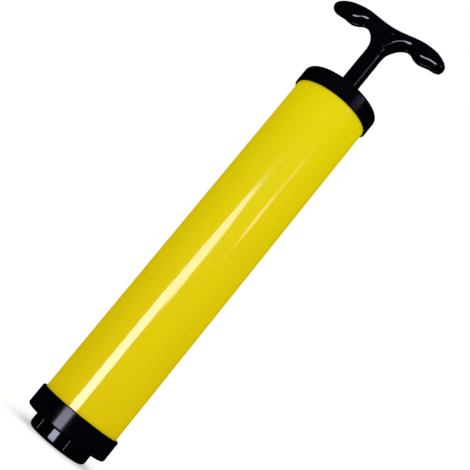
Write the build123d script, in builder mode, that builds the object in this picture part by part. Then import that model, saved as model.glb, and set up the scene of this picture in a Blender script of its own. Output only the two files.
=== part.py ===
# Double action hand pump, standing on the rim of its mouth nozzle.
# The origin is the centre of that rim, +Z runs up the pump's axis to the handle,
# and the handle's arms lie along X. All sizes are in millimetres.
# Every chamber is round about the Z axis: the plunger slides in the inner cylinder, and
# the upper chamber breathes through the gap between the inner cylinder and the barrel.

from build123d import *
import os

os.makedirs("parts", exist_ok=True)

# ---- driving dimensions ----

# Clearances
glue_gap = 0.05           # radial gap of a joint that is bonded or snapped together
running_gap = 0.05        # radial gap of a shaft that turns or slides in a bore
seal_gap = 0.03           # radial gap of a seal's lip on the wall that it wipes
end_float = 0.3           # axial play between the plunger's swivelling parts
seat_gap = 0.05           # height of a resting valve disc above its seat
edge_break = 0.4          # chamfer on moulded rims

# Barrel, the coloured outer tube
barrel_diameter = 44.0
barrel_wall = 1.2
barrel_visible = 204.4    # length that shows between the two caps

# Base cap
base_cap_step = 1.7       # how far it stands out from the barrel
base_cap_height = 12.0
base_cap_floor = 2.0
base_cap_corner = 1.5
vent_count = 6
vent_diameter = 2.4

# Mouth nozzle, the collar below the base cap
mouth_step = 5.0          # from the barrel's outside in to the nozzle's
mouth_height = 7.5
mouth_corner = 2.4
mouth_wall = 3.5
mouth_depth = 6.5
mouth_seal_thickness = 1.5
seal_groove_depth = 0.6
seal_groove_gap = 0.2     # from the seal down to its groove's edge
neck_step = 5.0           # from the nozzle's outside in to its neck's
neck_wall = 2.0
rib_count = 6
rib_diameter = 1.0
rib_stand = 0.3
rib_foot = 1.7
rib_turn = 3.0            # degrees from the X axis round to the first rib

# Valve manifold
plenum_height = 3.0
port_gasket_thickness = 0.8
seat_plate_thickness = 3.0
cage_plate_thickness = 5.0
channel_depth = 2.0
channel_width = 6.0
manifold_gap = 0.15       # radial gap between the plates and the barrel
floor_gasket_thickness = 0.8
disc_diameter = 7.0
disc_thickness = 1.0
disc_travel = 1.1
disc_side_gap = 0.4
seat_bore = 4.2
seat_land = 0.2           # from the neck's wall out to an intake valve's bore
outlet_rib = 1.6          # wall between the two outlet valves' pockets
grid_hole = 1.8
grid_count = 4
grid_margin = 0.1         # from a grid's holes out to the pocket's wall
plate_screw_count = 4
screw_head_gap = 0.3      # from the neck's wall out to the plate screws' heads
screw_diameter = 2.5
screw_head_diameter = 4.6
screw_head_height = 1.6
plate_o_ring = 1.8

# Inner cylinder
transfer_gap = 1.4        # radial gap between the inner cylinder and the barrel
cylinder_wall = 1.4
cylinder_floor = 3.0
port_margin = 0.3         # from the lower intake's port to the cylinder's wall
crossover_count = 6
crossover_width = 6.0
crossover_height = 3.0
crossover_drop = 2.0      # from the cylinder head down to the crossover slots

# Cylinder head
head_thickness = 12.0
head_groove_depth = 2.0
head_bore_gap = 0.4       # radial gap between the rod and the head
bush_diameter = 17.0
bush_height = 6.0
rod_seal_height = 3.5
seal_lip_root = 1.4
seal_lip_height = 1.2
head_o_ring = 1.8
head_o_ring_rise = 8.5

# Top cap
top_cap_step = 1.3        # how far it stands out from the barrel
top_cap_height = 10.2
top_cap_roof = 2.4
top_cap_corner = 2.0
top_cap_hole_gap = 0.35

# Plunger
rod_diameter = 10.6
rod_wall = 1.6
piston_floor_gap = 0.7    # from the cylinder's floor to the piston at rest
retainer_step = 4.0       # from the inner cylinder's wall in to the retainers
lower_retainer_thickness = 4.5
upper_retainer_thickness = 3.5
cup_thickness = 1.5
cup_lip_height = 5.0
cup_lip_edge = 0.6
cup_lip_root = 2.0
core_height = 8.0
core_gap = 0.5            # radial gap between the piston core and the cylinder
core_spigot = 12.0
shoulder_diameter = 6.0
shoulder_head_diameter = 9.0
shoulder_head_height = 2.4
shoulder_head_gap = 0.75
shoulder_thread = 5.0
shoulder_thread_length = 12.0
washer_diameter = 12.0
washer_thickness = 1.0
plug_length = 16.0
piston_screw_count = 3
piston_screw_bite = 2.5   # how far the piston screws reach into the upper retainer

# Handle
rod_showing = 25.4        # rod between the top cap and the handle's neck, pump closed
handle_depth = 11.0
tip_land = 0.2            # half the flat left along the tips between the rounded edges
spigot_length = 22.0
flare_rise = 5.0          # from the neck's joint up to where the arms start to spread
scallop_rise = 16.1
bump_rise = 13.4
hollow_rise = 14.7
tip_reach = 32.8
tip_rise = 14.2
tip_radius = 3.1
tip_turn = 50.0           # degrees above level at which the tip's arc meets the top
lobe_rise = 24.7
dip_rise = 22.8
scallop_share = 0.405     # the arm's features lie at these shares of the tip's reach
bump_share = 0.66
hollow_share = 0.84
lobe_share = 0.625

# ---- sizes and heights that follow ----

barrel_radius = barrel_diameter / 2
barrel_bore_radius = barrel_radius - barrel_wall
base_cap_radius = barrel_radius + base_cap_step
top_cap_radius = barrel_radius + top_cap_step
mouth_radius = barrel_radius - mouth_step
mouth_bore_radius = mouth_radius - mouth_wall
mouth_seal_radius = mouth_bore_radius + seal_groove_depth
neck_radius = mouth_radius - neck_step
neck_bore_radius = neck_radius - neck_wall
plate_radius = barrel_bore_radius - manifold_gap
cylinder_outer_radius = barrel_bore_radius - transfer_gap
cylinder_radius = cylinder_outer_radius - cylinder_wall
retainer_radius = cylinder_radius - retainer_step
rod_radius = rod_diameter / 2
rod_bore_radius = rod_radius - rod_wall
shoulder_radius = shoulder_diameter / 2
screw_radius = screw_diameter / 2
screw_head_radius = screw_head_diameter / 2
disc_radius = disc_diameter / 2
pocket_radius = disc_radius + disc_side_gap
intake_offset = neck_radius + seat_land + seat_bore / 2
outlet_offset = outlet_rib / 2 + pocket_radius
plate_screw_circle = 2 * (neck_radius + screw_head_gap + screw_head_radius)
piston_screw_circle = retainer_radius + shoulder_head_diameter / 2 + shoulder_head_gap
pocket_depth = seat_gap + disc_thickness + disc_travel + seat_gap
grid_circle = pocket_radius - grid_margin - grid_hole / 2

mouth_seal_base = mouth_depth - mouth_seal_thickness
seal_groove_base = mouth_seal_base - seal_groove_gap
cap_inside = mouth_height + base_cap_floor
seat_plate_base = cap_inside + plenum_height
neck_top = seat_plate_base - port_gasket_thickness
seat_plate_middle = seat_plate_base + seat_plate_thickness / 2
cage_plate_base = seat_plate_base + seat_plate_thickness
cage_plate_top = cage_plate_base + cage_plate_thickness
cylinder_base = cage_plate_top + floor_gasket_thickness
chamber_base = cylinder_base + cylinder_floor
base_cap_rim = mouth_height + base_cap_height
top_cap_rim = base_cap_rim + barrel_visible
top_cap_top = top_cap_rim + top_cap_height
barrel_top = top_cap_top - top_cap_roof
head_base = barrel_top - head_thickness
cylinder_top = head_base + head_groove_depth
crossover_top = head_base - crossover_drop

piston_base = chamber_base + piston_floor_gap
lower_cup_base = piston_base + lower_retainer_thickness
core_base = lower_cup_base + cup_thickness
core_top = core_base + core_height
upper_retainer_base = core_top + cup_thickness
piston_top = upper_retainer_base + upper_retainer_thickness
washer_base = piston_top + end_float
rod_base = washer_base + washer_thickness
neck_joint = top_cap_top + rod_showing
shoulder_head_top = piston_base + end_float + shoulder_head_height
stroke = crossover_top - crossover_height - end_float - (core_top + cup_lip_height)

intake_port_radius = cylinder_radius - intake_offset - port_margin
bush_radius = bush_diameter / 2
bush_base = barrel_top - bush_height
rod_seal_base = bush_base - rod_seal_height

intake_places = [(intake_offset, 0), (-intake_offset, 0)]
outlet_places = [(0, outlet_offset), (0, -outlet_offset)]
lower_intake, upper_intake = intake_places
lower_outlet, upper_outlet = outlet_places


def save(builder, name):
    builder.part.label = name
    export_step(builder.part, f"parts/{name}.step")


def ring_of_circles(height, count, circle, radius):
    """Circles evenly spaced on a larger circle about the pump's axis, half a step from the X axis."""
    with BuildSketch(Plane.XY.offset(height)) as ring:
        with PolarLocations(circle / 2, count, start_angle=180 / count):
            Circle(radius)
    return ring.sketch


def plate_holes(height, radius):
    return ring_of_circles(height, plate_screw_count, plate_screw_circle, radius)


def piston_holes(height, radius):
    return ring_of_circles(height, piston_screw_count, piston_screw_circle, radius)


def screws(holes, base, length):
    """Round-headed screws in a ring of holes, with their heads down and starting at base."""
    with BuildPart() as group:
        extrude(holes(base, screw_head_radius), amount=screw_head_height)
        extrude(holes(base + screw_head_height, screw_radius), amount=length)
    return group


# ---- mouth and base ----

with BuildPart() as mouth_nozzle:
    with BuildSketch(Plane.XY):
        Circle(mouth_radius)
    extrude(amount=mouth_height)
    fillet(mouth_nozzle.faces().sort_by(Axis.Z)[0].edges(), mouth_corner)
    with BuildSketch(Plane.XY.offset(rib_foot)):
        with PolarLocations(mouth_radius + rib_stand - rib_diameter / 2, rib_count, start_angle=rib_turn):
            Circle(rib_diameter / 2)
    extrude(amount=mouth_height - rib_foot)
    with BuildSketch(Plane.XY.offset(mouth_height)):
        Circle(neck_radius)
    extrude(amount=neck_top - mouth_height)
    with BuildSketch(Plane.XY):
        Circle(mouth_bore_radius)
    extrude(amount=mouth_depth, mode=Mode.SUBTRACT)
    with BuildSketch(Plane.XY.offset(seal_groove_base)):
        Circle(mouth_seal_radius)
    extrude(amount=mouth_depth - seal_groove_base, mode=Mode.SUBTRACT)
    with BuildSketch(Plane.XY):
        Circle(neck_bore_radius)
    extrude(amount=neck_top, mode=Mode.SUBTRACT)
    mouth_rim = mouth_nozzle.faces().sort_by(Axis.Z)[0]
    chamfer(mouth_rim.edges().sort_by(SortBy.RADIUS)[0], edge_break)
save(mouth_nozzle, "mouth_nozzle")

with BuildPart() as mouth_seal:
    with BuildSketch(Plane.XY.offset(mouth_seal_base)):
        Circle(mouth_seal_radius)
        Circle(neck_bore_radius, mode=Mode.SUBTRACT)
    extrude(amount=mouth_seal_thickness)
save(mouth_seal, "mouth_seal")

with BuildPart() as base_cap:
    with BuildSketch(Plane.XY.offset(mouth_height)):
        Circle(base_cap_radius)
    extrude(amount=base_cap_height)
    fillet(base_cap.faces().sort_by(Axis.Z)[0].edges(), base_cap_corner)
    with BuildSketch(Plane.XY.offset(cap_inside)):
        Circle(barrel_radius + glue_gap)
    extrude(amount=base_cap_height, mode=Mode.SUBTRACT)
    chamfer(base_cap.faces().sort_by(Axis.Z)[-1].edges().sort_by(SortBy.RADIUS)[-1], edge_break)
    with BuildSketch(Plane.XY.offset(mouth_height)):
        Circle(neck_radius + glue_gap)
    extrude(amount=base_cap_floor, mode=Mode.SUBTRACT)
    vents = ring_of_circles(mouth_height, vent_count, mouth_radius + barrel_bore_radius, vent_diameter / 2)
    extrude(vents, amount=base_cap_floor, mode=Mode.SUBTRACT)
save(base_cap, "base_cap")

with BuildPart() as outer_barrel:
    with BuildSketch(Plane.XY.offset(cap_inside)):
        Circle(barrel_radius)
        Circle(barrel_bore_radius, mode=Mode.SUBTRACT)
    extrude(amount=barrel_top - cap_inside)
save(outer_barrel, "outer_barrel")

# ---- valve manifold ----

with BuildPart() as port_gasket:
    with BuildSketch(Plane.XY.offset(neck_top)):
        Circle(neck_radius)
        Circle(neck_bore_radius, mode=Mode.SUBTRACT)
    extrude(amount=port_gasket_thickness)
save(port_gasket, "port_gasket")

# The seat plate holds the intake valves' seats, and grids below the outlet valves' discs.
with BuildPart() as seat_plate:
    with BuildSketch(Plane.XY.offset(seat_plate_base)):
        Circle(plate_radius)
        with Locations(*intake_places):
            Circle(seat_bore / 2, mode=Mode.SUBTRACT)
        for place in outlet_places:
            with Locations(place):
                with PolarLocations(grid_circle, grid_count, start_angle=180 / grid_count):
                    Circle(grid_hole / 2, mode=Mode.SUBTRACT)
    extrude(amount=seat_plate_thickness)
    holes = plate_holes(seat_plate_base, screw_radius + glue_gap)
    extrude(holes, amount=seat_plate_thickness, mode=Mode.SUBTRACT)
    with BuildSketch(Plane.XZ):
        with Locations((barrel_bore_radius - plate_o_ring / 2, seat_plate_middle)):
            Rectangle(plate_o_ring + 2 * glue_gap, plate_o_ring + 2 * glue_gap)
    revolve(axis=Axis.Z, mode=Mode.SUBTRACT)
save(seat_plate, "seat_plate")

# The cage plate holds the discs' pockets, the outlet valves' seats and the channels
# that join the upper chamber's two valves to the gap inside the barrel.
with BuildPart() as cage_plate:
    with BuildSketch(Plane.XY.offset(cage_plate_base)):
        Circle(plate_radius)
    extrude(amount=cage_plate_thickness)
    with BuildSketch(Plane.XY.offset(cage_plate_base)):
        with Locations(*intake_places, *outlet_places):
            Circle(pocket_radius)
    extrude(amount=pocket_depth, mode=Mode.SUBTRACT)
    with BuildSketch(Plane.XY.offset(cage_plate_base)):
        with Locations(*outlet_places):
            Circle(seat_bore / 2)
        for place in intake_places:
            with Locations(place):
                with PolarLocations(grid_circle, grid_count, start_angle=180 / grid_count):
                    Circle(grid_hole / 2)
    extrude(amount=cage_plate_thickness, mode=Mode.SUBTRACT)
    holes = plate_holes(cage_plate_base, screw_radius + glue_gap)
    extrude(holes, amount=cage_plate_thickness, mode=Mode.SUBTRACT)
    with BuildSketch(Plane.XY.offset(cage_plate_top - channel_depth)):
        with Locations(upper_intake):
            Rectangle(2 * pocket_radius, channel_width)
        with Locations(((upper_intake[0] - plate_radius) / 2, 0)):
            Rectangle(plate_radius - intake_offset, channel_width)
        with Locations((0, upper_outlet[1])):
            Circle(channel_width / 2)
        with Locations((0, -(plate_radius + outlet_offset) / 2)):
            Rectangle(channel_width, plate_radius - outlet_offset)
    extrude(amount=channel_depth, mode=Mode.SUBTRACT)
save(cage_plate, "cage_plate")

# ---- inner cylinder and its head ----

def floor_ports(height):
    """Outlines of the lower chamber's two ports, at a height."""
    with BuildSketch(Plane.XY.offset(height)) as ports:
        with Locations(lower_intake):
            Circle(intake_port_radius)
        with Locations(lower_outlet):
            Circle(seat_bore / 2)
    return ports.sketch


with BuildPart() as floor_gasket:
    with BuildSketch(Plane.XY.offset(cage_plate_top)):
        Circle(cylinder_outer_radius)
    extrude(amount=floor_gasket_thickness)
    holes = plate_holes(cage_plate_top, screw_radius + glue_gap)
    extrude(holes, amount=floor_gasket_thickness, mode=Mode.SUBTRACT)
    extrude(floor_ports(cage_plate_top), amount=floor_gasket_thickness, mode=Mode.SUBTRACT)
save(floor_gasket, "floor_gasket")

plate_screw_top = cylinder_base + cylinder_floor / 2

with BuildPart() as inner_cylinder:
    with BuildSketch(Plane.XY.offset(cylinder_base)):
        Circle(cylinder_outer_radius)
    extrude(amount=cylinder_top - cylinder_base)
    with BuildSketch(Plane.XY.offset(chamber_base)):
        Circle(cylinder_radius)
    extrude(amount=cylinder_top - chamber_base, mode=Mode.SUBTRACT)
    extrude(floor_ports(cylinder_base), amount=cylinder_floor, mode=Mode.SUBTRACT)
    extrude(plate_holes(cylinder_base, screw_radius), amount=cylinder_floor / 2, mode=Mode.SUBTRACT)
    with Locations((0, 0, crossover_top - crossover_height / 2)):
        with PolarLocations(cylinder_radius + cylinder_wall / 2, crossover_count):
            Box(2 * cylinder_wall, crossover_width, crossover_height, mode=Mode.SUBTRACT)
save(inner_cylinder, "inner_cylinder")

plate_screws = screws(plate_holes, seat_plate_base - screw_head_height, plate_screw_top - seat_plate_base)
save(plate_screws, "plate_screws")

with BuildPart() as cylinder_head:
    with BuildSketch(Plane.XY.offset(head_base)):
        Circle(barrel_bore_radius - glue_gap)
    extrude(amount=head_thickness)
    with BuildSketch(Plane.XY.offset(head_base)):
        Circle(cylinder_outer_radius + glue_gap)
        Circle(cylinder_radius - glue_gap, mode=Mode.SUBTRACT)
    extrude(amount=head_groove_depth, mode=Mode.SUBTRACT)
    with BuildSketch(Plane.XY.offset(head_base)):
        Circle(rod_radius + head_bore_gap)
    extrude(amount=head_thickness, mode=Mode.SUBTRACT)
    with BuildSketch(Plane.XY.offset(rod_seal_base)):
        Circle(bush_radius + glue_gap)
    extrude(amount=barrel_top - rod_seal_base, mode=Mode.SUBTRACT)
    with BuildSketch(Plane.XZ):
        with Locations((barrel_bore_radius - head_o_ring / 2, head_base + head_o_ring_rise)):
            Rectangle(head_o_ring + 2 * glue_gap, head_o_ring + 2 * glue_gap)
    revolve(axis=Axis.Z, mode=Mode.SUBTRACT)
save(cylinder_head, "cylinder_head")

o_rings = {
    "plate_o_ring": (plate_o_ring, seat_plate_middle),
    "head_o_ring": (head_o_ring, head_base + head_o_ring_rise),
}
for name, (section, height) in o_rings.items():
    with BuildPart() as o_ring:
        with BuildSketch(Plane.XZ):
            with Locations((barrel_bore_radius - section / 2, height)):
                Circle(section / 2)
        revolve(axis=Axis.Z)
    save(o_ring, name)

# The rod seal's lip wipes the rod below a hollow that the pressure fills.
with BuildPart() as rod_seal:
    with BuildSketch(Plane.XZ):
        with BuildLine():
            Polyline(
                (rod_radius + seal_gap, rod_seal_base),
                (rod_radius + seal_lip_root, rod_seal_base + seal_lip_height),
                (rod_radius + seal_lip_root, bush_base - seal_lip_height),
                (rod_radius + seal_gap, bush_base - seal_lip_height),
                (rod_radius + seal_gap, bush_base),
                (bush_radius, bush_base),
                (bush_radius, rod_seal_base),
                close=True,
            )
        make_face()
    revolve(axis=Axis.Z)
save(rod_seal, "rod_seal")

with BuildPart() as rod_bush:
    with BuildSketch(Plane.XY.offset(bush_base)):
        Circle(bush_radius)
        Circle(rod_radius + running_gap, mode=Mode.SUBTRACT)
    extrude(amount=bush_height)
save(rod_bush, "rod_bush")

with BuildPart() as top_cap:
    with BuildSketch(Plane.XY.offset(top_cap_rim)):
        Circle(top_cap_radius)
    extrude(amount=top_cap_height)
    fillet(top_cap.faces().sort_by(Axis.Z)[-1].edges(), top_cap_corner)
    chamfer(top_cap.faces().sort_by(Axis.Z)[0].edges(), edge_break)
    with BuildSketch(Plane.XY.offset(top_cap_rim)):
        Circle(barrel_radius + glue_gap)
    extrude(amount=barrel_top - top_cap_rim, mode=Mode.SUBTRACT)
    with BuildSketch(Plane.XY.offset(barrel_top)):
        Circle(rod_radius + top_cap_hole_gap)
    extrude(amount=top_cap_roof, mode=Mode.SUBTRACT)
save(top_cap, "top_cap")

# ---- piston ----

def cup_seal(back, direction):
    """A cup seal with its flat back at the height back, and its lip facing up (1) or down (-1)."""
    lip_radius = cylinder_radius - seal_gap
    with BuildPart() as cup:
        with BuildSketch(Plane.XZ):
            with BuildLine():
                Polyline(
                    (core_spigot / 2, back),
                    (lip_radius, back),
                    (lip_radius, back + direction * cup_lip_height),
                    (lip_radius - cup_lip_edge, back + direction * cup_lip_height),
                    (lip_radius - cup_lip_root, back + direction * cup_thickness),
                    (core_spigot / 2, back + direction * cup_thickness),
                    close=True,
                )
            make_face()
        revolve(axis=Axis.Z)
        holes = piston_holes(back, screw_radius + glue_gap)
        extrude(holes, amount=direction * cup_thickness, mode=Mode.SUBTRACT)
    return cup


save(cup_seal(core_base, -1), "lower_cup_seal")
save(cup_seal(core_top, 1), "upper_cup_seal")

with BuildPart() as piston_core:
    with BuildSketch(Plane.XY.offset(core_base)):
        Circle(cylinder_radius - core_gap)
    extrude(amount=core_height)
    with BuildSketch(Plane.XY.offset(lower_cup_base)):
        Circle(core_spigot / 2)
    extrude(amount=core_height + 2 * cup_thickness)
    with BuildSketch(Plane.XY.offset(lower_cup_base)):
        Circle(shoulder_radius + running_gap)
    extrude(amount=core_height + 2 * cup_thickness, mode=Mode.SUBTRACT)
    extrude(piston_holes(core_base, screw_radius + glue_gap), amount=core_height, mode=Mode.SUBTRACT)
save(piston_core, "piston_core")

with BuildPart() as lower_retainer:
    with BuildSketch(Plane.XY.offset(piston_base)):
        Circle(retainer_radius)
    extrude(amount=lower_retainer_thickness)
    with BuildSketch(Plane.XY.offset(piston_base)):
        Circle(shoulder_head_diameter / 2 + shoulder_head_gap)
    extrude(amount=shoulder_head_height + 2 * end_float, mode=Mode.SUBTRACT)
    with BuildSketch(Plane.XY.offset(piston_base)):
        Circle(shoulder_radius + running_gap)
    extrude(amount=lower_retainer_thickness, mode=Mode.SUBTRACT)
    holes = piston_holes(piston_base, screw_radius + glue_gap)
    extrude(holes, amount=lower_retainer_thickness, mode=Mode.SUBTRACT)
    head_pockets = piston_holes(piston_base, screw_head_radius + glue_gap)
    extrude(head_pockets, amount=screw_head_height + end_float, mode=Mode.SUBTRACT)
save(lower_retainer, "lower_retainer")

with BuildPart() as upper_retainer:
    with BuildSketch(Plane.XY.offset(upper_retainer_base)):
        Circle(retainer_radius)
        Circle(shoulder_radius + running_gap, mode=Mode.SUBTRACT)
    extrude(amount=upper_retainer_thickness)
    extrude(piston_holes(upper_retainer_base, screw_radius), amount=piston_screw_bite, mode=Mode.SUBTRACT)
save(upper_retainer, "upper_retainer")

piston_screw_base = piston_base + end_float
piston_screw_length = upper_retainer_base + piston_screw_bite - piston_screw_base - screw_head_height
save(screws(piston_holes, piston_screw_base, piston_screw_length), "piston_screws")

# ---- rod, with the shoulder screw on which it swivels ----

with BuildPart() as shoulder_screw:
    with BuildSketch(Plane.XY.offset(shoulder_head_top - shoulder_head_height)):
        Circle(shoulder_head_diameter / 2)
        RegularPolygon(shoulder_radius / 2, 6, mode=Mode.SUBTRACT)
    extrude(amount=shoulder_head_height)
    with BuildSketch(Plane.XY.offset(shoulder_head_top - shoulder_head_height / 3)):
        Circle(shoulder_radius)
    extrude(amount=rod_base - shoulder_head_top + shoulder_head_height / 3)
    with BuildSketch(Plane.XY.offset(rod_base)):
        Circle(shoulder_thread / 2)
    extrude(amount=shoulder_thread_length)
save(shoulder_screw, "shoulder_screw")

with BuildPart() as thrust_washer:
    with BuildSketch(Plane.XY.offset(washer_base)):
        Circle(washer_diameter / 2)
        Circle(shoulder_radius + running_gap, mode=Mode.SUBTRACT)
    extrude(amount=washer_thickness)
save(thrust_washer, "thrust_washer")

with BuildPart() as rod_plug:
    with BuildSketch(Plane.XY.offset(rod_base)):
        Circle(rod_bore_radius)
        Circle(shoulder_thread / 2, mode=Mode.SUBTRACT)
    extrude(amount=plug_length)
save(rod_plug, "rod_plug")

with BuildPart() as piston_rod:
    with BuildSketch(Plane.XY.offset(rod_base)):
        Circle(rod_radius)
        Circle(rod_bore_radius, mode=Mode.SUBTRACT)
    extrude(amount=neck_joint - rod_base)
save(piston_rod, "piston_rod")

# ---- valve discs, lying at the bottom of their pockets ----

disc_places = {
    "lower_intake_disc": lower_intake,
    "upper_intake_disc": upper_intake,
    "lower_outlet_disc": lower_outlet,
    "upper_outlet_disc": upper_outlet,
}
for name, place in disc_places.items():
    with BuildPart() as disc:
        with BuildSketch(Plane.XY.offset(cage_plate_base + seat_gap)):
            with Locations(place):
                Circle(disc_radius)
        extrude(amount=disc_thickness)
    save(disc, name)

# ---- handle ----

spread = neck_joint + flare_rise
handle_rounding = tip_radius - tip_land
scallop_reach = scallop_share * tip_reach
scallop = (scallop_reach, neck_joint + scallop_rise)
bump = (bump_share * tip_reach, neck_joint + bump_rise)
hollow = (hollow_share * tip_reach, neck_joint + hollow_rise)
tip = (tip_reach, neck_joint + tip_rise)
tip_centre = (tip_reach, tip[1] + tip_radius)
lobe = (lobe_share * tip_reach, neck_joint + lobe_rise)
dip = (0, neck_joint + dip_rise)

# One arm's outline runs from the stem up round the finger scallop, over two bumps to
# the tip, and back along the top to the dip in the middle. The other arm mirrors it.
with BuildPart() as handle:
    with BuildSketch(Plane.XZ):
        with BuildLine():
            Line((0, spread), (rod_radius, spread))
            EllipticalCenterArc((scallop_reach, spread), scallop_reach - rod_radius,
                                scallop[1] - spread, start_angle=90, arc_size=90)
            Spline(scallop, bump, tangents=[(1, 0), (1, 0)])
            Spline(bump, hollow, tip, tangents=[(1, 0), (1, 0)])
            tip_arc = CenterArc(tip_centre, tip_radius, -90, 90 + tip_turn)
            Spline(tip_arc @ 1, lobe, dip, tangents=[tip_arc % 1, (-1, 0)])
            Line(dip, (0, spread))
        make_face()
        mirror(about=Plane.YZ)
    extrude(amount=handle_depth / 2, both=True)
    front_and_back = handle.faces().filter_by(Axis.Y).sort_by(Axis.Y)
    outlines = front_and_back[0].edges() + front_and_back[-1].edges()
    fillet([edge for edge in outlines if edge.center().Z > spread + edge_break], handle_rounding)
    with BuildSketch(Plane.XY.offset(neck_joint)):
        Circle(rod_radius)
    extrude(amount=scallop_rise)
    with BuildSketch(Plane.XY.offset(neck_joint)):
        Circle(rod_bore_radius)
    extrude(amount=-spigot_length)
save(handle, "handle")
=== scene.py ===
from math import atan2, cos, pi, radians, sin

import bpy
from mathutils import Matrix, Vector


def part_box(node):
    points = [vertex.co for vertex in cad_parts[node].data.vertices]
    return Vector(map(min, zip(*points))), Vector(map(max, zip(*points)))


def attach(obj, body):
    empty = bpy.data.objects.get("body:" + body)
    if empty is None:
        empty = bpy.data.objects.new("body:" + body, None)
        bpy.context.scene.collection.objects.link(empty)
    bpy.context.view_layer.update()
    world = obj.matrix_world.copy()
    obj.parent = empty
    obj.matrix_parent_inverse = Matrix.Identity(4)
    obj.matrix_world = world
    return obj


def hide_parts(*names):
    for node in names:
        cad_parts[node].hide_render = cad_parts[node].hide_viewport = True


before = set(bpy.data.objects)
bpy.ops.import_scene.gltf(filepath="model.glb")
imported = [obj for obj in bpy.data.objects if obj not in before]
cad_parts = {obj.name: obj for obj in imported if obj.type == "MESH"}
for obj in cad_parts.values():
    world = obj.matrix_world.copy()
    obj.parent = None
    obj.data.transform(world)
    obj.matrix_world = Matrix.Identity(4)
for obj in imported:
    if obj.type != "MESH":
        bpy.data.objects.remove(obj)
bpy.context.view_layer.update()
bpy.ops.object.select_all(action="DESELECT")


class Wire:
    # one number running through a recipe, so that its maths reads as Python
    def __init__(self, recipe, socket):
        self.recipe = recipe
        self.socket = socket

    def join(self, operation, other):
        return self.recipe.node("ShaderNodeMath", {"operation": operation}, {0: self, 1: other})

    def __add__(self, other):
        return self.join("ADD", other)

    def __mul__(self, other):
        return self.join("MULTIPLY", other)

    __radd__ = __add__
    __rmul__ = __mul__


class Recipe:
    # the nodes of a new material, or of a new world: node() makes each of them, and close() ends them
    def __init__(self, name, kind="materials", end="ShaderNodeOutputMaterial"):
        self.owner = getattr(bpy.data, kind).new(name)
        self.owner.use_nodes = True
        self.tree = self.owner.node_tree
        self.tree.nodes.clear()
        self.end = self.tree.nodes.new(end)

    def node(self, kind, settings=None, values=None, output=0):
        made = self.tree.nodes.new(kind)
        for key, value in (settings or {}).items():
            setattr(made, key, value)
        for key, value in (values or {}).items():
            if isinstance(value, Wire):
                self.tree.links.new(value.socket, made.inputs[key])
            else:
                made.inputs[key].default_value = value
        return Wire(self, made.outputs[output])

    def close(self, shader):
        self.tree.links.new(shader.socket, self.end.inputs["Surface"])
        return self.owner

    def place(self):
        return self.node("ShaderNodeTexCoord", output="Object")

    def height(self):
        return self.node("ShaderNodeSeparateXYZ", {}, {"Vector": self.place()}, output="Z")

    def noise(self, size, detail=2.0, stretch=(1, 1, 1)):
        # size in metres; along an axis that is stretched by less than 1 the blotches grow longer
        spot = self.node("ShaderNodeMapping", {"vector_type": "POINT"},
                         {"Vector": self.place(), "Scale": stretch})
        return self.node("ShaderNodeTexNoise", {"noise_dimensions": "3D"},
                         {"Vector": spot, "Scale": 1 / size, "Detail": detail})

    def spread(self, value, low, high, newLow=0.0, newHigh=1.0):
        return self.node("ShaderNodeMapRange", {"clamp": True},
                         {"Value": value, "From Min": low, "From Max": high,
                          "To Min": newLow, "To Max": newHigh})

    def patches(self, size, detail=2.0, stretch=(1, 1, 1), edges=(0.35, 0.65)):
        # noise with its contrast raised, so that it fills the range from 0 to 1
        return self.spread(self.noise(size, detail, stretch), *edges)

    def tint(self, mask, first, second):
        return self.node("ShaderNodeMix", {"data_type": "RGBA", "blend_type": "MIX"},
                         {0: mask, 6: first, 7: second}, output=2)

    def relief(self, height, depth, strength, under=None):
        values = {"Height": height, "Distance": depth, "Strength": strength}
        if under is not None:
            values["Normal"] = under
        return self.node("ShaderNodeBump", {}, values)

    def finish(self, fade=None, **values):
        values = {key.replace("_", " "): value for key, value in values.items()}
        shader = self.node("ShaderNodeBsdfPrincipled", {}, values)
        if fade:
            bare = self.node("ShaderNodeBsdfPrincipled", {}, {**values, "Specular IOR Level": 0.0})
            facing = self.node("ShaderNodeLayerWeight", {}, {"Blend": 0.5}, output="Facing")
            shader = self.node("ShaderNodeMixShader", {},
                               {0: self.spread(facing, *fade), 1: shader, 2: bare})
        return self.close(shader)


def editMode(on):
    bpy.ops.object.mode_set(mode="EDIT" if on else "OBJECT")


def opaque(red, green, blue):
    return (red, green, blue, 1.0)


cameraSettings = {
    "distance": 0.4782,     # metres from the axis
    "height": 0.0486,
    "azimuth": 17.8,        # degrees, as the other angles
    "yaw": 0.403,
    "pitch": 10.59,
    "roll": 39.15,
    "lens": 71.78,          # millimetres, as the sensor
    "sensor": 36.0,
    "nearest": 0.01,        # metres; nothing nearer is drawn
}


def around(offset, distance, height):
    # a place round the axis, with the offset in degrees from the camera's azimuth
    angle = radians(cameraSettings["azimuth"] + offset)
    return Vector((sin(angle) * distance, -cos(angle) * distance, height))


def makeCamera(look):
    yaw, pitch, roll = (radians(look[key]) for key in ("yaw", "pitch", "roll"))
    forward = Vector((sin(yaw) * cos(pitch), cos(yaw) * cos(pitch), sin(pitch)))
    level = forward.cross(Vector((0, 0, 1))).normalized()
    upright = level.cross(forward)
    right = level * cos(roll) + upright * sin(roll)
    up = upright * cos(roll) - level * sin(roll)
    turn = Matrix((right, up, -forward)).transposed()
    turn = Matrix.Rotation(radians(look["azimuth"]), 3, "Z") @ turn
    data = bpy.data.cameras.new("camera")
    data.lens = look["lens"]
    data.sensor_width = look["sensor"]
    data.clip_start = look["nearest"]
    camera = bpy.data.objects.new("camera", data)
    camera.matrix_world = Matrix.Translation(around(0, look["distance"], look["height"])) @ turn.to_4x4()
    bpy.context.scene.collection.objects.link(camera)
    bpy.context.scene.camera = camera


makeCamera(cameraSettings)
print("camera made")

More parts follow.
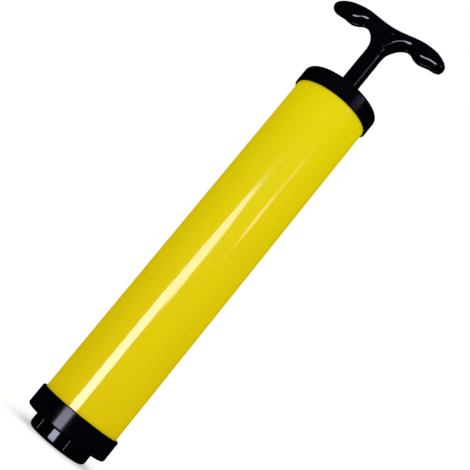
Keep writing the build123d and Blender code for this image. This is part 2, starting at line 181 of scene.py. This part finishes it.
studio = {
    # lengths in metres
    "floorSize": 6.0,
    "floorShade": 0.8,      # how much of the light that falls on it the floor gives back
    "ambient": 0.80,        # the white world's light, for the rays that don't see it as background
    # it stands this many degrees from the camera's azimuth, and points at the axis at the height of its aim
    "key": {"offset": 6.0, "height": 0.75, "distance": 1.5, "size": 1.0, "light": 2.85, "aim": 0.13},
    "shell": {"radius": 1.7, "middle": 0.3, "shade": 0.004, "segments": 48, "rings": 24},
    "panelDistance": 1.0,
    # each panel's rows are (height, left edge, right edge), with the edges in degrees from the camera's
    # azimuth; its light goes from the first value at the foot to the second at the head
    "panels": {
        "long": {"rows": [(-0.14, -36.5, -12.5), (0.17, -34.0, -12.0), (0.335, -26.5, -9.5),
                          (0.40, -24.0, -13.0)],
                 "light": (18.0, 9.0), "tint": (0.77, 0.77, 1.0)},
        "side": {"rows": [(0.17, -13.0, -6.5), (0.26, -12.0, -6.0), (0.32, -11.0, -7.0)],
                 "light": (9.0, 7.0), "tint": (0.95, 0.95, 1.0)},
        "slim": {"rows": [(0.32, 34.0, 38.5), (0.34, 30.0, 39.0), (0.41, 30.5, 38.0)],
                 "light": (6.0, 5.0), "tint": (1.0, 0.98, 0.9)},
        "faint": {"rows": [(0.425, 33.0, 38.5), (0.49, 33.0, 39.5)],
                  "light": (2.4, 2.4), "tint": (1.0, 0.98, 0.9)},
        "violet": {"rows": [(0.60, 36.0, 50.0), (0.68, 36.0, 50.0)],
                   "light": (2.5, 2.5), "tint": (0.58, 0.42, 1.0)},
        "rod": {"rows": [(0.64, 52.5, 57.5), (0.98, 52.5, 57.5)],
                "light": (8.0, 8.0), "tint": (0.95, 0.95, 1.0)},
        "lowFront": {"rows": [(-0.95, -36.5, -12.5), (-0.14, -36.5, -12.5)],
                     "light": (4.0, 15.0), "tint": (0.77, 0.77, 1.0)},
        "back": {"rows": [(-0.40, 156.0, 180.0), (0.60, 156.0, 180.0)],
                 "light": (11.0, 9.0), "tint": (0.88, 0.88, 1.0)},
    },
}


def backgroundShare(recipe):
    # 1 for the rays that see the background as it is: the camera's, and those in gloss and glass
    light = recipe.tree.nodes.new("ShaderNodeLightPath")
    seen, glossy, passing = (Wire(recipe, light.outputs[name]) for name in
                             ("Is Camera Ray", "Is Glossy Ray", "Is Transmission Ray"))
    return recipe.node("ShaderNodeMath", {"operation": "ADD", "use_clamp": True},
                       {0: seen + glossy, 1: passing})


def stagePiece(name, material):
    piece = bpy.context.object
    piece.name = name
    piece.data.materials.append(material)
    piece.select_set(False)
    return piece


def glossOnly(piece):
    for ray in ("camera", "diffuse", "shadow", "transmission"):
        setattr(piece, "visible_" + ray, False)


def makeFloor(plan):
    recipe = Recipe("studioFloor")
    shade = plan["floorShade"]
    paper = recipe.node("ShaderNodeBsdfDiffuse", {}, {"Color": opaque(shade, shade, shade)})
    glow = recipe.node("ShaderNodeEmission", {},
                       {"Strength": backgroundShare(recipe) * (1 - shade * plan["ambient"])})
    both = recipe.node("ShaderNodeAddShader", {}, {0: paper, 1: glow})
    bpy.ops.mesh.primitive_plane_add(size=plan["floorSize"], location=(0, 0, 0))
    floor = stagePiece("studio_floor", recipe.close(both))
    floor.visible_glossy = False    # the panels reach below it in the gloss


def makeShell(plan):
    # a dark room round the object, which only the gloss sees
    recipe = Recipe("darkShell")
    dark = recipe.node("ShaderNodeEmission", {}, {"Strength": plan["shade"]})
    bpy.ops.mesh.primitive_uv_sphere_add(segments=plan["segments"], ring_count=plan["rings"],
                                         radius=plan["radius"], location=(0, 0, plan["middle"]))
    bpy.ops.object.transform_apply()
    glossOnly(stagePiece("studio_shell", recipe.close(dark)))


def makePanel(name, plan, distance):
    # a soft light that shows in the gloss alone: a strip of squares, one between each two rows, then bent
    recipe = Recipe(name + "Panel")
    rows = plan["rows"]
    climb = recipe.spread(recipe.height(), rows[0][0], rows[-1][0], *plan["light"])
    glow = recipe.node("ShaderNodeEmission", {}, {"Color": opaque(*plan["tint"]), "Strength": climb})
    square = 2.0
    bpy.ops.mesh.primitive_plane_add(size=square, location=(0, 0, 0))
    panel = bpy.context.object
    editMode(True)
    bpy.ops.mesh.select_all(action="DESELECT")
    bpy.ops.mesh.select_mode(type="EDGE")
    editMode(False)
    head = next(edge for edge in panel.data.edges
                if all(panel.data.vertices[end].co.y > 0 for end in edge.vertices))
    head.select = True
    editMode(True)
    for _ in rows[2:]:
        bpy.ops.mesh.extrude_region_move(TRANSFORM_OT_translate={"value": (0, square, 0)})
    editMode(False)
    for vertex in panel.data.vertices:
        height, left, right = rows[round(vertex.co.y / square + 0.5)]
        vertex.co = around(left if vertex.co.x < 0 else right, distance, height)
    glossOnly(stagePiece("studio_" + name, recipe.close(glow)))


def makeWorld(plan):
    recipe = Recipe("studioWorld", "worlds", "ShaderNodeOutputWorld")
    level = recipe.spread(backgroundShare(recipe), 0, 1, plan["ambient"], 1.0)
    sky = recipe.node("ShaderNodeBackground", {}, {"Color": opaque(1, 1, 1), "Strength": level})
    bpy.context.scene.world = recipe.close(sky)


def makeKey(plan):
    data = bpy.data.lights.new("key", "AREA")
    data.shape = "SQUARE"
    data.size = plan["size"]
    data.energy = plan["light"] * pi * plan["size"] ** 2    # watts
    lamp = bpy.data.objects.new("key", data)
    spot = around(plan["offset"], plan["distance"], plan["height"])
    turn = (Vector((0, 0, plan["aim"])) - spot).to_track_quat("-Z", "Y")
    lamp.matrix_world = Matrix.Translation(spot) @ turn.to_matrix().to_4x4()
    lamp.visible_glossy = False
    bpy.context.scene.collection.objects.link(lamp)


makeFloor(studio)
makeShell(studio["shell"])
for name, plan in studio["panels"].items():
    makePanel(name, plan, studio["panelDistance"])
makeWorld(studio)
makeKey(studio["key"])
bpy.context.scene.view_settings.view_transform = "Standard"
print("studio made")

# the gloss dies away between these two steepnesses, from 0 square on to 1 edge on, so that a strip light
# never burns an outline away
glossFade = (0.32, 0.52)

yellowLook = {
    "foot": (0.745, 0.560, 0.0016),
    "head": (0.745, 0.632, 0.0008),
    "clouded": (0.66, 0.52, 0.002),
    "roughness": (0.07, 0.13),
    "specular": 0.42,
}


def shellYellow(name, look, bottom, top):
    # warm at the foot, greener towards the head, with faint clouds and flow lines from the mould
    recipe = Recipe(name)
    climb = recipe.spread(recipe.height(), bottom, top)
    cloud = recipe.patches(0.05, detail=3.0)
    flow = recipe.patches(0.006, stretch=(1, 1, 0.04), edges=(0.3, 0.7))
    skin = recipe.noise(0.0028)
    grain = recipe.noise(0.0004)
    base = recipe.tint(climb, opaque(*look["foot"]), opaque(*look["head"]))
    colour = recipe.tint(cloud * 0.06 + flow * 0.04, base, opaque(*look["clouded"]))
    rough = recipe.spread(grain + cloud * 0.3, 0.3, 1.0, *look["roughness"])
    fine = recipe.relief(grain, depth=0.000002, strength=0.4)
    return recipe.finish(glossFade, Base_Color=colour, Roughness=rough, Specular_IOR_Level=look["specular"],
                         Normal=recipe.relief(skin, depth=0.00001, strength=0.5, under=fine))


blackLook = {
    "deep": (0.0007, 0.0007, 0.0018),
    "clouded": (0.0014, 0.0012, 0.0030),
}


def glossBlack(name, look, roughness, specular):
    # a faint violet cast in clouds, under a skin that is a little wavy
    recipe = Recipe(name)
    cloud = recipe.patches(0.012, detail=3.0)
    skin = recipe.noise(0.003)
    grain = recipe.noise(0.00035)
    colour = recipe.tint(cloud, opaque(*look["deep"]), opaque(*look["clouded"]))
    rough = recipe.spread(grain * 0.6 + cloud * 0.4, 0.3, 0.7, *roughness)
    fine = recipe.relief(grain, depth=0.000002, strength=0.4)
    return recipe.finish(glossFade, Base_Color=colour, Roughness=rough, Specular_IOR_Level=specular,
                         Normal=recipe.relief(skin, depth=0.00002, strength=0.35, under=fine))


rubberLook = {
    "deep": (0.012, 0.012, 0.012),
    "bloomed": (0.045, 0.044, 0.042),
    "roughness": (0.62, 0.85),
    "specular": 0.35,
}


def mattRubber(name, look):
    # a dry bloom in patches, and the fine grain of the mould
    recipe = Recipe(name)
    bloom = recipe.patches(0.004, detail=4.0, edges=(0.45, 0.75))
    grain = recipe.noise(0.0002, detail=3.0)
    colour = recipe.tint(bloom * 0.5 + grain * 0.2, opaque(*look["deep"]), opaque(*look["bloomed"]))
    rough = recipe.spread(bloom + grain * 0.3, 0.0, 1.2, *look["roughness"])
    waves = recipe.relief(recipe.noise(0.002), depth=0.00003, strength=0.4)
    return recipe.finish(Base_Color=colour, Roughness=rough, Specular_IOR_Level=look["specular"],
                         Normal=recipe.relief(grain, depth=0.00001, strength=0.6, under=waves))


naturalLook = {
    "pale": (0.70, 0.69, 0.64),
    "deep": (0.60, 0.58, 0.52),
    "roughness": (0.34, 0.48),
    "specular": 0.45,
}
greyLook = {
    "pale": (0.27, 0.28, 0.29),
    "deep": (0.21, 0.22, 0.23),
    "roughness": (0.38, 0.55),
    "specular": 0.45,
}


def mouldedPlastic(name, look):
    # clouds where the melt met, faint flow lines along the pull of the mould and a spark-eroded grain
    recipe = Recipe(name)
    cloud = recipe.patches(0.009, detail=3.0)
    flow = recipe.patches(0.0012, detail=3.0, stretch=(1, 1, 0.06))
    grain = recipe.noise(0.00022, detail=3.0)
    colour = recipe.tint(cloud * 0.6 + flow * 0.4, opaque(*look["pale"]), opaque(*look["deep"]))
    rough = recipe.spread(grain * 0.7 + flow * 0.3, 0.2, 0.8, *look["roughness"])
    fine = recipe.relief(grain, depth=0.000006, strength=0.5)
    return recipe.finish(Base_Color=colour, Roughness=rough, Specular_IOR_Level=look["specular"],
                         Normal=recipe.relief(flow, depth=0.000008, strength=0.4, under=fine))


steelLook = {
    "zinc": (0.62, 0.62, 0.63),
    "warmed": (0.66, 0.62, 0.52),
    "roughness": (0.24, 0.42),
}


def platedSteel(name, look):
    # zinc plate, a little warmer in patches, with turning marks round each screw's shank
    recipe = Recipe(name)
    patch = recipe.patches(0.0016, detail=3.0, edges=(0.4, 0.65))
    marks = recipe.noise(0.00012, stretch=(0.08, 0.08, 1.0))
    colour = recipe.tint(patch, opaque(*look["zinc"]), opaque(*look["warmed"]))
    rough = recipe.spread(marks * 0.6 + patch * 0.4, 0.2, 0.8, *look["roughness"])
    dents = recipe.relief(recipe.noise(0.0006), depth=0.000008, strength=0.4)
    return recipe.finish(Base_Color=colour, Metallic=1.0, Roughness=rough,
                         Normal=recipe.relief(marks, depth=0.000006, strength=0.5, under=dents))


barrelFoot, barrelHead = (corner.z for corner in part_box("outer_barrel"))
finishes = {
    "yellow_shell": shellYellow("yellowShell", yellowLook, barrelFoot, barrelHead),
    "black_gloss": glossBlack("glossBlack", blackLook, roughness=(0.12, 0.18), specular=0.2),
    "black_rubber": mattRubber("mattRubber", rubberLook),
    "natural_plastic": mouldedPlastic("naturalPlastic", naturalLook),
    "grey_plastic": mouldedPlastic("greyPlastic", greyLook),
    "screw_steel": platedSteel("platedSteel", steelLook),
}
# pieces whose black is glossier than the caps'
polished = {
    "mouth_nozzle": glossBlack("glossBlackCollar", blackLook, roughness=(0.05, 0.09), specular=0.34),
    "piston_rod": glossBlack("glossBlackRod", blackLook, roughness=(0.10, 0.15), specular=0.2),
    "handle": glossBlack("glossBlackHandle", blackLook, roughness=(0.08, 0.13), specular=0.45),
}
for name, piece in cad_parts.items():
    for place in piece.material_slots:
        if place.material and place.material.name in finishes:
            place.material = polished.get(name, finishes[place.material.name])
print("materials made")

mm = 0.001
handleSizes = {
    # millimetres; heights are above the joint between rod and handle
    "roundness": 40,        # corners of each swept disc
    # reach from the middle, underside, top, half the depth
    "arm": [(0, 14.9, 23.4, 4.8), (4, 15.6, 23.55, 4.8), (8, 16.6, 23.95, 4.8), (11, 17.3, 24.4, 4.8),
            (13.3, 17.5, 24.75, 4.8), (15.5, 17.2, 25.1, 4.8), (17.5, 16.5, 25.3, 4.8),
            (19.5, 15.4, 25.4, 4.8), (21.5, 14.6, 25.3, 4.8), (23.5, 14.6, 25.1, 4.8),
            (25.5, 14.9, 24.75, 4.8), (27.5, 15.2, 24.3, 4.8), (29.5, 15.1, 23.6, 4.75),
            (31.5, 14.8, 22.65, 4.6), (33.2, 14.8, 21.7, 4.2), (34.6, 15.1, 20.7, 3.4),
            (35.6, 15.7, 19.8, 2.6), (36.3, 16.7, 18.6, 1.3)],
    # reach, height, half the height and half the depth of the round bead that follows the underside
    "bead": [(1.6, 3.0, 3.6, 4.7), (1.7, 6.0, 3.6, 4.9), (2.3, 9.3, 3.65, 5.15), (3.9, 12.7, 3.7, 5.4),
             (6.7, 16.3, 3.6, 5.5), (10.0, 18.4, 3.3, 5.5), (13.3, 19.4, 3.1, 5.5), (16.6, 18.8, 3.0, 5.5),
             (19.2, 17.0, 2.8, 5.5), (21.9, 15.9, 2.55, 5.5), (24.8, 16.2, 2.4, 5.5),
             (27.6, 16.7, 2.3, 5.5), (30.0, 16.7, 2.4, 5.4), (31.8, 16.6, 2.45, 5.2),
             (33.6, 16.9, 2.5, 4.9), (34.9, 17.1, 2.0, 3.9), (35.8, 17.4, 1.25, 2.2),
             (36.2, 17.5, 0.5, 0.8)],
    # height, half the width, half the depth; it starts below the joint, where it's cut square
    "stem": [(-3, 5.3, 5.3), (4, 5.3, 5.3), (7, 5.6, 5.1), (9.5, 6.2, 4.9), (11.5, 7.1, 4.7),
             (13, 8.2, 4.6), (14.2, 9.2, 4.5), (15.4, 10.2, 4.5), (17, 11.5, 4.4), (19, 11.5, 4.3),
             (20.5, 9.0, 4.0)],
    "voxel": 0.34,
    "smoothing": {"factor": 0.5, "iterations": 60},
    "crease": 50,           # degrees; edges that bend less than this are shaded smooth
}
leastTurn = 0.0001          # radians


def sweep(name, stops, roundness, heading=None):
    # a disc, extruded from stop to stop; a stop is its place (x, z), half its height and half its depth, and
    # without a heading each disc faces along the path
    def angle(index):
        if heading:
            return atan2(heading.z, heading.x)
        before, after = stops[max(index - 1, 0)], stops[min(index + 1, len(stops) - 1)]
        return atan2(after[1] - before[1], after[0] - before[0])

    x, z, high, deep = stops[0]
    bpy.ops.mesh.primitive_circle_add(vertices=roundness, radius=1.0, fill_type="NGON",
                                      rotation=(0, pi / 2 - angle(0), 0), location=(x, 0, z))
    piece = bpy.context.object
    piece.name = name
    editMode(True)
    bpy.ops.mesh.select_all(action="SELECT")
    bpy.ops.transform.resize(value=(high, deep, high), center_override=(x, 0, z))
    for index in range(1, len(stops)):
        oldX, oldZ, oldHigh, oldDeep = stops[index - 1]
        x, z, high, deep = stops[index]
        bpy.ops.mesh.extrude_region_move(TRANSFORM_OT_translate={"value": (x - oldX, 0, z - oldZ)})
        turn = angle(index) - angle(index - 1)
        if abs(turn) > leastTurn:
            bpy.ops.transform.rotate(value=turn, orient_axis="Y", center_override=(x, 0, z))
        grow = high / oldHigh
        bpy.ops.transform.resize(value=(grow, deep / oldDeep, grow), center_override=(x, 0, z))
    bpy.ops.mesh.select_all(action="SELECT")
    bpy.ops.mesh.normals_make_consistent(inside=False)
    editMode(False)
    bpy.ops.object.transform_apply()
    piece.select_set(False)
    return piece


def applyModifier(piece, kind, **settings):
    modifier = piece.modifiers.new(kind.lower(), kind)
    for key, value in settings.items():
        setattr(modifier, key, value)
    bpy.context.view_layer.objects.active = piece
    bpy.ops.object.modifier_apply(modifier=modifier.name)


def addSpigot(joint, foot, share):
    # the stem is cut square at the joint, and the cut is drawn in to this share of its width and down to the
    # foot, as the spigot that enters the rod
    editMode(True)
    bpy.ops.mesh.select_all(action="SELECT")
    bpy.ops.mesh.bisect(plane_co=(0, 0, joint), plane_no=(0, 0, 1), clear_inner=True)
    bpy.ops.mesh.extrude_region_move(TRANSFORM_OT_translate={"value": (0, 0, 0)})
    bpy.ops.transform.resize(value=(share, share, 1), center_override=(0, 0, joint))
    bpy.ops.mesh.extrude_region_move(TRANSFORM_OT_translate={"value": (0, 0, foot - joint)})
    bpy.ops.mesh.edge_face_add()
    bpy.ops.mesh.select_all(action="SELECT")
    bpy.ops.mesh.normals_make_consistent(inside=False)
    editMode(False)


def makeHandle(sizes):
    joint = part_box("piston_rod")[1].z
    roundness = sizes["roundness"]
    rightArm = [(reach * mm, joint + (under + over) / 2 * mm, (over - under) / 2 * mm, deep * mm)
                for reach, under, over, deep in sizes["arm"]]
    leftArm = [(-reach, middle, high, deep) for reach, middle, high, deep in rightArm[:0:-1]]
    rightBead = [(reach * mm, joint + height * mm, high * mm, deep * mm)
                 for reach, height, high, deep in sizes["bead"]]
    leftBead = [(-reach, height, high, deep) for reach, height, high, deep in rightBead]
    stem = [(0, joint + height * mm, wide * mm, deep * mm) for height, wide, deep in sizes["stem"]]
    grip = sweep("handle_grip", leftArm + rightArm, roundness, heading=Vector((1, 0, 0)))
    for part in (sweep("handle_bead", rightBead, roundness), sweep("handle_bead", leftBead, roundness),
                 sweep("handle_stem", stem, roundness, heading=Vector((0, 0, 1))), grip):
        part.select_set(True)
    bpy.context.view_layer.objects.active = grip
    bpy.ops.object.join()
    applyModifier(grip, "REMESH", mode="VOXEL", voxel_size=sizes["voxel"] * mm)
    applyModifier(grip, "SMOOTH", **sizes["smoothing"])
    stemRadius = sizes["stem"][0][1] * mm
    addSpigot(joint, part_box("handle")[0].z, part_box("rod_plug")[1].x / stemRadius)
    bpy.ops.object.shade_smooth_by_angle(angle=radians(sizes["crease"]))
    grip.data.materials.clear()
    grip.data.materials.append(polished["handle"])
    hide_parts("handle")
    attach(grip, "plunger_rod")
    grip.select_set(False)
    print("handle made:", len(grip.data.polygons), "faces")


makeHandle(handleSizes)
